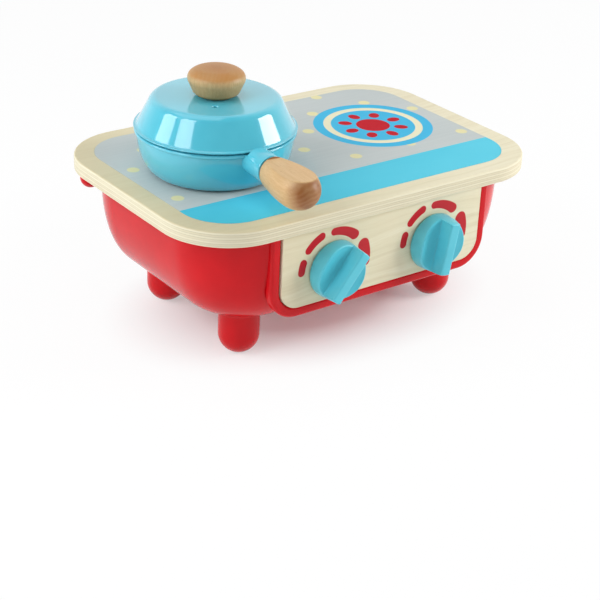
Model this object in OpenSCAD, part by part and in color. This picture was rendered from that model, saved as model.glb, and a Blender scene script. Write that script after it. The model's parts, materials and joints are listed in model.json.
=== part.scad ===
// Toy stove: a wooden hob board on a red moulded tub with four round feet,
// two clicking knobs on a wooden front panel, and a lidded pan that stands on
// the left burner. Millimetres, +Z up, the front faces -Y, Z = 0 is the table.

/* [Hob board] */
// Width of the wooden board, left to right
board_w = 250; // [236:1:270]
// Depth of the board, front to back
board_d = 170; // [166:1:190]
// Thickness of the plywood
board_t = 9; // [7:0.5:14]
// Radius of the board's corners in plan
board_corner_r = 41; // [30:1:50]
// Radius of the eased top and bottom edges
board_edge_r = 1.2; // [0.5:0.1:2]

/* [Printed sheet] */
// Bare wood left beside the printed sheet
sheet_margin_side = 13; // [8:0.5:20]
// Bare wood left in front of the sheet
sheet_margin_front = 13; // [8:0.5:20]
// Bare wood left behind the sheet
sheet_margin_back = 11; // [8:0.5:20]
// Radius of the sheet's corners
sheet_corner_r = 28; // [15:1:36]
// Thickness of the sheet
sheet_t = 0.5; // [0.4:0.1:1]
// How deep the sheet is let into the board
sheet_recess = 0.4; // [0.1:0.1:0.4]

/* [Tub] */
// Width of the tub at its top
tub_w = 224; // [210:1:230]
// Depth of the tub at its top, front to back
tub_d = 161; // [152:1:164]
// Height of the tub under the board
tub_h = 58.3; // [54:0.1:75]
// Radius of the tub's corners at its top
tub_corner_r = 47; // [42:1:55]
// How far the sides tuck in at the bottom
tub_tuck = 28.5; // [22:0.5:32]
// Fullness of the side curve, where 2 is an ellipse
tub_fullness = 2.6; // [2:0.1:4]
// Wall thickness of the tub
tub_wall = 2.5; // [2:0.1:3.5]

/* [Front] */
// Width of the wooden front panel
panel_w = 144; // [136:1:152]
// Height of the front panel
panel_h = 45.5; // [43:0.5:48]
// Thickness of the front panel
panel_t = 7; // [6:0.5:9]
// Radius of the panel's lower corners
panel_corner_r = 12; // [8:0.5:18]
// How far the panel's face stands in front of the tub
panel_out = 2; // [1:0.5:3]
// Width of the rounded rim around the panel
rim_w = 6.3; // [5:0.1:8]
// Depth of the rim, front to back
rim_t = 4; // [3:0.5:6]
// Radius of the rim's front edges
rim_edge_r = 1.8; // [0.5:0.1:2.2]
// How far the panel's face stands in front of the rim
panel_proud = 0.8; // [0:0.1:2]
// Step from the rim in to the collar behind it
collar_step = 1.5; // [0.5:0.1:3]
// Length of the collar behind the rim
collar_len = 24; // [20:1:30]
// Width of the ledge that the panel rests against
ledge_w = 6; // [5:0.1:6.4]
// Thickness of that ledge
ledge_t = 2.5; // [2:0.5:4]

/* [Feet] */
// Height of the tub's underside above the table
foot_h = 28.3; // [22:0.1:36]
// Radius of each foot and of its round end
foot_r = 12.2; // [9:0.1:14]
// Distance of the feet from the middle, left and right
foot_x = 72.6; // [64:0.1:76]
// Distance of the front feet in front of the board's centre
foot_y_front = 43; // [34:1:46]
// Distance of the back feet behind the board's centre
foot_y_back = 36; // [30:1:46]
// Length of the moulded stub above each foot
foot_stub = 2; // [1:0.5:4]
// Depth of the flat on the foot's round end
foot_flat = 0.5; // [0.3:0.1:1]

/* [Knobs] */
// Distance of each knob's axis from the middle
knob_x = 36.3; // [30:0.1:42]
// Height of the knob axes above the panel's lower edge
knob_up = 18.6; // [18:0.1:22]
// Radius of the knobs at the panel
knob_r = 17.3; // [15:0.1:17.4]
// How much narrower the knobs are at their front
knob_draft = 1.3; // [0:0.1:2]
// Depth of the knobs in front of the panel
knob_depth = 16.5; // [14:0.5:20]
// Gap between a knob and the panel
knob_gap = 0.5; // [0.3:0.1:1.5]
// Height of the valley beside the finger bar
valley_h = 8; // [6.6:0.1:9]
// Height of the knob's rim halfway between the bar's ends
skirt_h = 10.6; // [9.5:0.1:12]
// Radius of the hollow beside the finger bar
scoop_r = 18; // [16:0.5:24]
// Half the width of the finger bar at its front
bar_half_front = 3.4; // [2.4:0.1:3.8]
// Half the width of the finger bar at its foot
bar_half_foot = 3.9; // [3.8:0.1:5]
// Lean of the left knob's bar to the right of upright, in degrees
bar_lean_left = 39; // [0:1:90]
// Lean of the right knob's bar to the right of upright, in degrees
bar_lean_right = 10; // [0:1:90]

/* [Knob works] */
// Radius of the knob shafts
shaft_r = 4; // [3:0.1:4.5]
// Radial clearance of a shaft in its bush
shaft_clearance = 0.05; // [0.02:0.01:0.1]
// How far a shaft is pressed into its knob
shaft_in_knob = 6; // [3:0.1:6.2]
// Wall thickness of the bushes
bush_wall = 1.8; // [1.2:0.1:2.5]
// Radius of a bush's flange behind the panel
bush_flange_r = 8.5; // [7.5:0.1:9.5]
// Thickness of that flange
bush_flange_t = 1.5; // [1:0.1:2.5]
// Radius of the click wheels
wheel_r = 10.5; // [9.5:0.1:11]
// Thickness of the click wheels
wheel_t = 4; // [3:0.5:6]
// Number of clicks in a turn
clicks = 12; // [8:4:16]
// Radius of each click notch
notch_r = 1.5; // [1:0.1:1.8]
// Running gap along the axis and around the wheel
running_gap = 0.3; // [0.2:0.05:0.6]
// Thickness of the click springs
leaf_t = 0.8; // [0.6:0.1:1.2]
// Length of each spring from its block to the notch
leaf_len = 15; // [13:0.5:17]
// Edge length of the block that holds a spring
block_w = 6; // [5:0.5:8]

/* [Screws] */
// Shank radius of the wood screws
screw_r = 1.6; // [1.2:0.1:2]
// Head radius of the wood screws
screw_head_r = 3.1; // [2.6:0.1:3.4]
// Head height of the wood screws
screw_head_h = 2; // [1.5:0.1:2.6]
// Length of the screws that hold the board
board_screw_len = 9; // [7:0.5:10.5]
// Length of the screws that hold the panel
panel_screw_len = 6.5; // [5:0.5:8]
// Length of the screws that hold the feet
foot_screw_len = 16; // [10:1:20]
// Length of the screws that hold the click wheels
wheel_screw_len = 9; // [6:0.5:12]
// Length of the screws that hold the click springs
spring_screw_len = 11; // [9:0.5:12]
// Thickness of the washer under a click wheel's screw
washer_t = 0.8; // [0.5:0.1:1.2]
// Radius of that washer
washer_r = 6; // [5:0.1:7]
// Distance of the board screws from the middle
well_x = 42; // [36:1:46]
// Distance of the board screws in front of and behind the centre
well_y = 40; // [34:1:44]
// Wall thickness of the screw wells
well_wall = 1.9; // [1.4:0.1:2.6]
// Thickness of the web that a screw head seats on
web_t = 3; // [2:0.5:4]

/* [Utensil pegs] */
// Radius of a peg's ball end
peg_ball_r = 5; // [4:0.1:5.4]
// Radius of a peg's stem
peg_stem_r = 3.2; // [2.5:0.1:4]
// How far the ball's centre stands out from the tub
peg_reach = 5.5; // [5.5:0.1:7]
// Angle of the pegs back from the side, in degrees
peg_angle = 28; // [10:1:45]
// Depth of the pegs below the board
peg_drop = 6.2; // [5.8:0.1:16]

/* [Pan] */
// Place of the pan's axis, left of the middle
pan_left = 61.2; // [56:0.1:66]
// Place of the pan's axis behind the board's centre
pan_back = 1.7; // [-6:0.1:10]
// Radius of the pan at its rim
pan_r = 45.8; // [42:0.1:49]
// Radius of the pan's flat bottom
pan_foot_r = 34.2; // [30:0.1:38]
// Height of the pan
pan_h = 25.6; // [24:0.1:32]
// Fullness of the pan's side curve
pan_fullness = 2.0; // [1.8:0.1:3]
// Wall thickness of the pan and its lid
pan_wall = 2; // [1.5:0.1:2.6]
// Height of the handle's axis above the hob
handle_up = 21; // [18:0.5:22]
// Angle that the handle points to, counted from the right, in degrees
handle_turn = -94; // [-110:1:-75]
// Radius of the handle socket
socket_r = 8.4; // [6.5:0.1:8.5]
// Distance from the pan's axis to the end of the socket
socket_end = 62; // [58:0.5:66]
// Length of the wooden handle
handle_len = 42; // [36:1:56]
// Distance from the socket to the handle's thickest place
handle_belly = 26; // [20:1:30]
// Radius of the handle at its thickest place
handle_r = 12; // [10:0.1:13]
// Height of the flat on the handle above its axis
handle_flat = 7.6; // [5:0.1:9]
// Length of the screw that holds the handle
handle_screw_len = 32; // [26:1:36]

/* [Lid] */
// How far the lid's brim stands out past the pan
brim_out = 1.9; // [1:0.1:3]
// Thickness of the brim
brim_t = 1.6; // [1.2:0.1:2.4]
// Gap between the lid and the pan's rim
lid_gap = 0.3; // [0.2:0.1:0.6]
// Height of the lid above its brim's underside
lid_h = 18.6; // [14:0.1:24]
// Radius at the foot of the lid's cone
lid_cone_r = 46; // [44:0.1:47]
// Radius at the shoulder of the lid
lid_top_r = 37; // [34:0.1:41]
// Radius of the rounding at the shoulder
lid_shoulder_r = 4; // [2:0.5:6]
// Depth of the ring that centres the lid in the pan
lid_ring_h = 4; // [3:0.5:6]
// Radius of the steam hole
vent_r = 1.6; // [0.8:0.1:2]
// Distance of the steam hole from the lid's axis
vent_out = 19; // [18:0.5:30]
// Direction of the steam hole, counted from the right, in degrees
vent_turn = -125; // [-180:5:180]
// Radius of the lid knob at its foot
lid_knob_foot_r = 10.3; // [8:0.1:12]
// Radius of the lid knob at its widest
lid_knob_r = 16.4; // [13:0.1:18]
// Height of the widest place above the lid
lid_knob_wide_h = 11; // [9:0.5:14]
// Height of the lid knob
lid_knob_h = 17; // [15:0.5:22]
// Length of the screw that holds the lid knob
lid_screw_len = 13; // [9:0.5:15]

/* [Hidden] */

red = [0.78, 0.13, 0.15];
light_blue = [0.43, 0.78, 0.87];
cream_wood = [0.90, 0.86, 0.75];
beech = [0.86, 0.74, 0.56];
silver = [0.76, 0.78, 0.80];
steel = [0.70, 0.71, 0.73];
white_plastic = [0.92, 0.92, 0.90];

// Small clearances
sheet_gap = 0.15;
rim_inner = 0.2;
ring_clear = 0.6;
socket_clear = 0.6;
head_clear = 0.5;

// Cross slots in a screw's head, and the screw's point
cross_w = 0.7;
cross_share = 1.1;
point_len = 2;
point_r = 0.4;

// How far a part is carried into what it is moulded on, before that is hollowed out
stub_root = 4;
socket_root = 2;
// Round stretch of the handle in front of its flat
flat_start = 2;

round_steps = 96;
small_steps = 48;
curve_steps = 14;
handle_steps = 16;
shoulder_steps = 8;
cut = 1;

// Heights
board_under = foot_h + tub_h;
hob_top = board_under + board_t;
sheet_top = hob_top - sheet_recess + sheet_t;
panel_low = board_under - panel_h;
knob_z = panel_low + knob_up;
peg_z = board_under - peg_drop;
foot_round_z = foot_r - foot_flat;

// Depths, measured from the board's centre, before the origin is centred
panel_face = -(tub_d / 2 + panel_out);
rim_face = panel_face + panel_proud;
collar_end = rim_face + collar_len;
knob_front = panel_face - knob_gap - knob_depth;
handle_tip = pan_back + sin(handle_turn) * (socket_end + handle_len);
front_reach = min(-board_d / 2, min(knob_front, handle_tip));

// The whole is centred on the origin in plan
centre_y = (-front_reach - board_d / 2) / 2;

// Printed sheet
sheet_w = board_w - 2 * sheet_margin_side;
sheet_d = board_d - sheet_margin_front - sheet_margin_back;

// Front outlines
rim_half = panel_w / 2 + rim_inner;
collar_half = rim_half + rim_w - collar_step;
collar_depth = panel_h + rim_inner + rim_w - collar_step;
collar_corner_r = panel_corner_r + rim_w - collar_step;
rim_run = panel_h - panel_corner_r;
rim_span = panel_w - 2 * panel_corner_r;

// Screws
well_bore_r = screw_head_r + head_clear;
panel_screw_x = (panel_w - ledge_w) / 2;
panel_screw_drops = [panel_h / 5, panel_h - panel_corner_r - screw_head_r];

// Knob works
bush_r = shaft_r + shaft_clearance + bush_wall;
wheel_front = panel_t + bush_flange_t + running_gap;
nose_r = notch_r - running_gap;
leaf_h = wheel_r + running_gap;
block_x = leaf_len + block_w / 2;
shaft_back = wheel_front + wheel_t;
block_t = shaft_back - panel_t;

// Pan
pan_place = [-pan_left, pan_back, sheet_top];
brim_r = pan_r + brim_out;
lid_base = pan_h + lid_gap;
lid_top = lid_base + lid_h;
ring_r = pan_r - pan_wall - ring_clear;
handle_screw_start = pan_r - pan_wall + screw_head_h + head_clear;

// Points along a quarter of a superellipse, from (0, 0) at the top to (in, down)
function tuck_in(u, depth, n) = depth * (1 - pow(1 - pow(u, n), 1 / n));
function quarter(steps) = [for (i = [0 : steps]) sin(90 * i / steps)];

module centred() {
    translate([0, centre_y, 0]) children();
}

// Face frame: x to the right, y up from the table, z out of the panel's face
module on_face() {
    centred() translate([0, panel_face, 0]) rotate([90, 0, 0]) children();
}

// Knob frame: z out of the panel, y up, origin on the knob's axis
module on_knob(side) {
    on_face() translate([side * knob_x, knob_z, 0]) children();
}

module on_pan() {
    centred() translate(pan_place) children();
}

// Handle frame: z along the handle, away from the pan, y up
module on_handle() {
    on_pan() rotate([0, 0, handle_turn]) translate([0, 0, handle_up])
        rotate([90, 0, 90]) children();
}

module rounded_rect(w, d, r) {
    union() {
        square([w - 2 * r, d], center = true);
        square([w, d - 2 * r], center = true);
        for (x = [-1, 1], y = [-1, 1])
            translate([x * (w / 2 - r), y * (d / 2 - r)]) circle(r, $fn = round_steps);
    }
}

// Half section of a slab edge, eased by e above and below
module eased_edge(reach, t, e) {
    union() {
        square([reach - e, t]);
        translate([0, e]) square([reach, t - 2 * e]);
        for (y = [e, t - e]) translate([reach - e, y]) circle(e, $fn = small_steps);
    }
}

// Rounded slab with eased edges, standing on z = 0
module eased_slab(w, d, t, r, e) {
    linear_extrude(t) square([w - 2 * r, d - 2 * r], center = true);
    for (x = [0, 1]) rotate([0, 0, 180 * x]) {
        translate([w / 2 - r, -(d / 2 - r), 0]) rotate([90, 0, 180]) mirror([1, 0, 0])
            linear_extrude(d - 2 * r) eased_edge(r, t, e);
        translate([w / 2 - r, d / 2 - r, 0]) rotate([90, 0, 90]) translate([0, 0, -(w - 2 * r)])
            linear_extrude(w - 2 * r) eased_edge(r, t, e);
        translate([w / 2 - r, d / 2 - r, 0])
            rotate_extrude(angle = 90, $fn = round_steps) eased_edge(r, t, e);
        translate([w / 2 - r, -(d / 2 - r), 0]) rotate([0, 0, -90])
            rotate_extrude(angle = 90, $fn = round_steps) eased_edge(r, t, e);
    }
}

// Front outline with square top corners and round lower ones, hanging from y = 0
module hanging_outline(half, depth, r) {
    translate([-half, r - depth]) square([2 * half, depth - r]);
    translate([r - half, -depth]) square([2 * (half - r), r]);
    for (x = [-1, 1]) translate([x * (half - r), r - depth]) circle(r, $fn = round_steps);
}

// The head's underside is on z = 0 and the shank goes up
module screw(len) {
    difference() {
        translate([0, 0, -screw_head_h]) cylinder(screw_head_h, r = screw_head_r, $fn = small_steps);
        for (a = [0, 90]) rotate([0, 0, a]) translate([0, 0, -screw_head_h])
            cube([screw_head_r * cross_share, cross_w, screw_head_h], center = true);
    }
    cylinder(len - point_len, r = screw_r, $fn = small_steps);
    translate([0, 0, len - point_len])
        cylinder(point_len, r1 = screw_r, r2 = point_r, $fn = small_steps);
}

// Hob board and printed sheet
module sheet_place() {
    translate([0, (sheet_margin_front - sheet_margin_back) / 2, 0]) children();
}

module hob_board() {
    color(cream_wood) centred() difference() {
        translate([0, 0, board_under])
            eased_slab(board_w, board_d, board_t, board_corner_r, board_edge_r);
        sheet_place() translate([0, 0, hob_top - sheet_recess]) linear_extrude(cut)
            rounded_rect(sheet_w + 2 * sheet_gap, sheet_d + 2 * sheet_gap, sheet_corner_r + sheet_gap);
        for (x = [-1, 1], y = [-1, 1]) translate([x * well_x, y * well_y, board_under - cut])
            cylinder(board_screw_len - web_t + cut, r = screw_r, $fn = small_steps);
    }
}

module hob_sheet() {
    color(silver) centred() sheet_place() translate([0, 0, hob_top - sheet_recess])
        linear_extrude(sheet_t) rounded_rect(sheet_w, sheet_d, sheet_corner_r);
}

// Tub
// Half section of the bowl's side: reach is how far the round part goes in, from
// the middle of the corner to the wall, and the rows run down the curve
function bowl_rows(reach, depth) = [for (u = quarter(curve_steps))
    [reach - tuck_in(u, tub_tuck, tub_fullness), -u * depth]];

// The tub's outer form, or its inner one with the wall taken off and its top raised
module bowl(shrink, rise = 0) {
    reach = tub_corner_r - shrink;
    depth = tub_h - shrink;
    half_w = tub_w / 2 - tub_corner_r;
    half_d = tub_d / 2 - tub_corner_r;
    rows = concat([[reach, rise]], bowl_rows(reach, depth));
    translate([0, 0, board_under]) {
        for (x = [-1, 1], y = [-1, 1])
            translate([x * half_w, y * half_d, 0])
                rotate([0, 0, x > 0 ? (y > 0 ? 0 : -90) : (y > 0 ? 90 : 180)])
                    rotate_extrude(angle = 90, $fn = round_steps)
                        polygon(concat([[0, rise]], rows, [[0, -depth]]));
        bowl_run(rows, half_w, half_d);
        rotate([0, 0, 90]) bowl_run(rows, half_d, half_w);
    }
}

// The stretch between two corners, with its two opposite sides, run along x
module bowl_run(rows, half_run, half_across) {
    count = len(rows);
    translate([-half_run, 0, 0]) rotate([90, 0, 90]) linear_extrude(2 * half_run) polygon(concat(
        [for (p = rows) [half_across + p[0], p[1]]],
        [for (i = [count - 1 : -1 : 0]) [-half_across - rows[i][0], rows[i][1]]]));
}

// Half section of the rim: a rounded bead in front and a narrower back down to the ledge
module rim_section() {
    back = panel_t - panel_proud - rim_t;
    union() {
        translate([0, -back - ledge_t / 2]) square([rim_w - collar_step - tub_wall / 2, back + ledge_t]);
        square([rim_w, rim_t - rim_edge_r]);
        translate([rim_edge_r, 0]) square([rim_w - 2 * rim_edge_r, rim_t]);
        for (x = [rim_edge_r, rim_w - rim_edge_r]) translate([x, rim_t - rim_edge_r])
            circle(rim_edge_r, $fn = small_steps);
    }
}

module rim() {
    translate([0, 0, -panel_proud - rim_t]) {
        for (side = [0, 1]) mirror([side, 0, 0]) {
            translate([rim_half, board_under, 0]) rotate([90, 0, 0])
                linear_extrude(rim_run) rim_section();
            translate([panel_w / 2 - panel_corner_r, panel_low + panel_corner_r, 0])
                rotate([0, 0, -90]) rotate_extrude(angle = 90, $fn = round_steps)
                    translate([panel_corner_r + rim_inner, 0]) rim_section();
        }
        translate([rim_span / 2, panel_low - rim_inner, 0]) rotate([90, 0, -90])
            linear_extrude(rim_span) rim_section();
    }
}

module well_spots() {
    for (x = [-1, 1], y = [-1, 1]) translate([x * well_x, y * well_y, foot_h]) children();
}

module foot_spots() {
    for (x = [-1, 1], y = [-foot_y_front, foot_y_back]) translate([x * foot_x, y, 0]) children();
}

// Two at each side of the ledge
module panel_screw_spots() {
    for (x = [-1, 1], drop = panel_screw_drops)
        translate([x * panel_screw_x, board_under - drop, -panel_t]) children();
}

// Peg frame: z points outwards through the tub's corner
module on_peg(side) {
    translate([side * (tub_w / 2 - tub_corner_r), tub_d / 2 - tub_corner_r, peg_z])
        rotate([0, 0, side > 0 ? peg_angle : 180 - peg_angle]) rotate([0, 90, 0])
            translate([0, 0, tub_corner_r]) children();
}

module body_shell() {
    color(red) difference() {
        union() {
            difference() {
                union() {
                    centred() bowl(0);
                    on_face() translate([0, board_under, panel_face - collar_end])
                        linear_extrude(collar_len - rim_t / 2)
                            hanging_outline(collar_half, collar_depth, collar_corner_r);
                    centred() foot_spots() translate([0, 0, foot_h - foot_stub])
                        cylinder(foot_stub + stub_root, r = foot_r, $fn = round_steps);
                }
                centred() bowl(tub_wall, cut);
                on_face() translate([0, board_under + cut, panel_face - collar_end - cut])
                    linear_extrude(collar_len + 2 * cut)
                        hanging_outline(collar_half - tub_wall, collar_depth - tub_wall + cut,
                                        collar_corner_r - tub_wall);
            }
            // Ledge behind the panel
            on_face() translate([0, board_under, -panel_t - ledge_t]) difference() {
                linear_extrude(ledge_t)
                    hanging_outline(collar_half - tub_wall / 2, collar_depth - tub_wall / 2,
                                    collar_corner_r - tub_wall / 2);
                translate([0, cut, -cut]) linear_extrude(ledge_t + 2 * cut)
                    hanging_outline(panel_w / 2 - ledge_w, panel_h - ledge_w + cut, panel_corner_r);
            }
            on_face() rim();
            centred() well_spots()
                cylinder(tub_h, r = well_bore_r + well_wall, $fn = small_steps);
        }
        centred() well_spots() {
            translate([0, 0, -cut]) cylinder(tub_h - web_t + cut, r = well_bore_r, $fn = small_steps);
            cylinder(tub_h + cut, r = screw_r, $fn = small_steps);
        }
        centred() foot_spots() translate([0, 0, foot_h - foot_stub - cut])
            cylinder(foot_stub + tub_wall + 2 * cut, r = screw_r, $fn = small_steps);
        on_face() panel_screw_spots() translate([0, 0, -ledge_t - cut])
            cylinder(ledge_t + 2 * cut, r = screw_r, $fn = small_steps);
        centred() for (side = [-1, 1]) on_peg(side) translate([0, 0, -tub_wall - 2 * cut])
            cylinder(tub_wall + 4 * cut, r = peg_stem_r, $fn = small_steps);
    }
}

module front_panel() {
    color(cream_wood) on_face() difference() {
        translate([0, board_under, -panel_t]) linear_extrude(panel_t)
            hanging_outline(panel_w / 2, panel_h, panel_corner_r);
        for (side = [-1, 1]) translate([side * knob_x, knob_z, -panel_t - cut])
            cylinder(panel_t + 2 * cut, r = bush_r, $fn = round_steps);
        panel_screw_spots() translate([0, 0, -cut])
            cylinder(panel_screw_len - ledge_t + cut, r = screw_r, $fn = small_steps);
        for (side = [-1, 1]) translate([side * knob_x + block_x, knob_z + leaf_h, -panel_t - cut])
            cylinder(spring_screw_len - block_t + cut, r = screw_r, $fn = small_steps);
    }
}

// Feet and pegs
module foot(x, y) {
    color(red) centred() translate([x, y, 0]) difference() {
        union() {
            translate([0, 0, foot_round_z]) sphere(foot_r, $fn = round_steps);
            translate([0, 0, foot_round_z])
                cylinder(foot_h - foot_stub - foot_round_z, r = foot_r, $fn = round_steps);
        }
        translate([-foot_r, -foot_r, -foot_r]) cube([2 * foot_r, 2 * foot_r, foot_r]);
        translate([0, 0, foot_h + tub_wall - foot_screw_len])
            cylinder(foot_screw_len, r = screw_r, $fn = small_steps);
    }
}

module utensil_peg(side) {
    color(red) centred() on_peg(side) {
        translate([0, 0, peg_reach]) sphere(peg_ball_r, $fn = round_steps);
        translate([0, 0, -tub_wall]) cylinder(tub_wall + peg_reach, r = peg_stem_r, $fn = small_steps);
    }
}

// Knobs
module knob_scoop() {
    // Beyond the bar's flank, and inside a cylinder from the valley out to the rim
    chord = [knob_r - bar_half_foot, skirt_h - valley_h];
    rise = sqrt(scoop_r * scoop_r - pow(norm(chord) / 2, 2));
    middle = [bar_half_foot, valley_h] + chord / 2 + rise * [-chord[1], chord[0]] / norm(chord);
    flank = (bar_half_foot - bar_half_front) / (knob_depth - valley_h);
    low = valley_h - 2 * cut;
    high = knob_depth + cut;
    intersection() {
        translate([0, 2 * knob_r, 0]) rotate([90, 0, 0]) linear_extrude(4 * knob_r) polygon([
            [bar_half_front + flank * (knob_depth - low), low],
            [knob_r + cut, low],
            [knob_r + cut, high],
            [bar_half_front + flank * (knob_depth - high), high]]);
        translate([middle[0], 2 * knob_r + cut, middle[1]]) rotate([90, 0, 0])
            cylinder(4 * knob_r + 2 * cut, r = scoop_r, $fn = round_steps);
    }
}

module knob(side, lean) {
    color(light_blue) on_knob(side) translate([0, 0, knob_gap]) rotate([0, 0, -lean]) difference() {
        cylinder(knob_depth, r1 = knob_r, r2 = knob_r - knob_draft, $fn = round_steps);
        for (turn = [0, 180]) rotate([0, 0, turn]) knob_scoop();
        translate([0, 0, -cut]) cylinder(shaft_in_knob + cut, r = shaft_r, $fn = small_steps);
    }
}

module knob_shaft(side) {
    color(white_plastic) on_knob(side) difference() {
        translate([0, 0, -shaft_back])
            cylinder(shaft_back + knob_gap + shaft_in_knob, r = shaft_r, $fn = small_steps);
        translate([0, 0, -shaft_back - cut])
            cylinder(wheel_screw_len + cut, r = screw_r, $fn = small_steps);
    }
}

module bush(side) {
    color(white_plastic) on_knob(side) difference() {
        union() {
            translate([0, 0, -panel_t]) cylinder(panel_t, r = bush_r, $fn = round_steps);
            translate([0, 0, -panel_t - bush_flange_t])
                cylinder(bush_flange_t, r = bush_flange_r, $fn = round_steps);
        }
        translate([0, 0, -panel_t - bush_flange_t - cut])
            cylinder(panel_t + bush_flange_t + 2 * cut, r = shaft_r + shaft_clearance, $fn = small_steps);
    }
}

module click_wheel(side) {
    color(white_plastic) on_knob(side) translate([0, 0, -shaft_back]) difference() {
        cylinder(wheel_t, r = wheel_r, $fn = round_steps);
        for (i = [0 : clicks - 1]) rotate([0, 0, 90 + 360 * i / clicks])
            translate([wheel_r, 0, -cut]) cylinder(wheel_t + 2 * cut, r = notch_r, $fn = small_steps);
        translate([0, 0, -cut]) cylinder(wheel_t + 2 * cut, r = shaft_r, $fn = small_steps);
    }
}

module click_spring(side) {
    // A block on the panel's back, a leaf over the wheel and a nose in the top notch
    color(white_plastic) on_knob(side) translate([0, leaf_h, -shaft_back]) {
        difference() {
            translate([block_x - block_w / 2, -block_w / 2, 0]) cube([block_w, block_w, block_t]);
            translate([block_x, 0, -cut]) cylinder(block_t + 2 * cut, r = screw_r, $fn = small_steps);
        }
        cube([block_x - block_w / 2, leaf_t, wheel_t]);
        translate([0, -running_gap, 0]) cylinder(wheel_t, r = nose_r, $fn = small_steps);
        translate([-nose_r, -running_gap, 0]) cube([2 * nose_r, running_gap + leaf_t, wheel_t]);
    }
}

module wheel_screw(side) {
    color(steel) on_knob(side) translate([0, 0, -shaft_back]) {
        translate([0, 0, -washer_t]) difference() {
            cylinder(washer_t, r = washer_r, $fn = small_steps);
            translate([0, 0, -cut]) cylinder(washer_t + 2 * cut, r = screw_r, $fn = small_steps);
        }
        translate([0, 0, -washer_t]) screw(wheel_screw_len + washer_t);
    }
}

// Grouped screws
module board_screws() {
    color(steel) centred() well_spots() translate([0, 0, tub_h - web_t]) screw(board_screw_len);
}

module panel_screws() {
    color(steel) on_face() panel_screw_spots() translate([0, 0, -ledge_t]) screw(panel_screw_len);
}

module foot_screws() {
    color(steel) centred() foot_spots() translate([0, 0, foot_h + tub_wall]) mirror([0, 0, 1])
        screw(foot_screw_len);
}

module spring_screws() {
    color(steel) for (side = [-1, 1])
        on_knob(side) translate([block_x, leaf_h, -shaft_back]) screw(spring_screw_len);
}

// Pan
function pan_side(wall, height) = [for (i = [0 : curve_steps])
    let (u = quarter(curve_steps)[curve_steps - i])
    [pan_r - wall - tuck_in(u, pan_r - pan_foot_r, pan_fullness), pan_h - u * height]];

module pan_body() {
    color(light_blue) difference() {
        union() {
            on_pan() rotate_extrude($fn = round_steps)
                polygon(concat([[0, 0]], pan_side(0, pan_h), [[0, pan_h]]));
            on_handle() translate([0, 0, pan_r - pan_wall - socket_root])
                cylinder(socket_end - pan_r + pan_wall + socket_root, r = socket_r, $fn = round_steps);
        }
        on_pan() rotate_extrude($fn = round_steps)
            polygon(concat([[0, pan_wall]], pan_side(pan_wall, pan_h - pan_wall),
                           [[pan_r - pan_wall, pan_h + socket_r], [0, pan_h + socket_r]]));
        on_pan() translate([0, 0, pan_h]) cylinder(socket_r, r = brim_r + socket_clear, $fn = round_steps);
        on_handle() cylinder(socket_end + cut, r = screw_r, $fn = small_steps);
        on_handle() cylinder(handle_screw_start, r = screw_head_r + head_clear, $fn = small_steps);
    }
}

function handle_radius(t) = t < handle_belly
    ? socket_r + (handle_r - socket_r) * sin(90 * t / handle_belly)
    : handle_r * sqrt(max(0, 1 - pow((t - handle_belly) / (handle_len - handle_belly), 2)));

module pan_handle() {
    color(beech) on_handle() difference() {
        translate([0, 0, socket_end]) rotate_extrude($fn = round_steps) polygon(concat(
            [[0, 0]],
            [for (i = [0 : handle_steps]) let (t = handle_belly * i / handle_steps) [handle_radius(t), t]],
            [for (a = [90 / handle_steps : 90 / handle_steps : 89])
                [handle_r * cos(a), handle_belly + (handle_len - handle_belly) * sin(a)]],
            [[0, handle_len]]));
        translate([-handle_r, handle_flat, socket_end + flat_start])
            cube([2 * handle_r, handle_r, handle_len]);
        translate([0, 0, socket_end - cut])
            cylinder(handle_screw_start + handle_screw_len - socket_end + cut,
                     r = screw_r, $fn = small_steps);
    }
}

module handle_screw() {
    color(steel) on_handle() translate([0, 0, handle_screw_start]) screw(handle_screw_len);
}

// Lid
module lid_shell() {
    color(light_blue) on_pan() difference() {
        union() {
            rotate_extrude($fn = round_steps) lid_form(0);
            translate([0, 0, lid_base]) cylinder(brim_t, r = brim_r, $fn = round_steps);
            translate([0, 0, lid_base - lid_ring_h])
                cylinder(lid_ring_h + brim_t, r = ring_r, $fn = round_steps);
        }
        rotate_extrude($fn = round_steps) lid_form(pan_wall);
        translate([0, 0, lid_base - lid_ring_h - cut])
            cylinder(lid_ring_h + brim_t + cut, r = ring_r - pan_wall, $fn = round_steps);
        translate([0, 0, lid_top - pan_wall - cut]) {
            cylinder(pan_wall + 2 * cut, r = screw_r, $fn = small_steps);
            rotate([0, 0, vent_turn]) translate([vent_out, 0, 0])
                cylinder(pan_wall + 2 * cut, r = vent_r, $fn = small_steps);
        }
    }
}

// Half section of the lid's cone with a rounded shoulder, smaller by the wall
module lid_form(wall) {
    top = lid_top - wall;
    side = [lid_cone_r - lid_top_r, lid_h - brim_t];
    normal = [side[1], side[0]] / norm(side);
    foot = [lid_cone_r, lid_base + brim_t] - wall * normal;
    r = lid_shoulder_r - wall / 2;
    // Centre of the rounding: r inside both the top and the cone
    centre_h = top - r;
    along = (centre_h - foot[1] + r * normal[1]) / side[1];
    centre_r = foot[0] - along * side[0] - r * normal[0];
    lean = atan2(normal[1], normal[0]);
    polygon(concat(
        [[0, foot[1]], foot],
        [for (i = [0 : shoulder_steps]) let (a = lean + (90 - lean) * i / shoulder_steps)
            [centre_r + r * cos(a), centre_h + r * sin(a)]],
        [[0, top]]));
}

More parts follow.
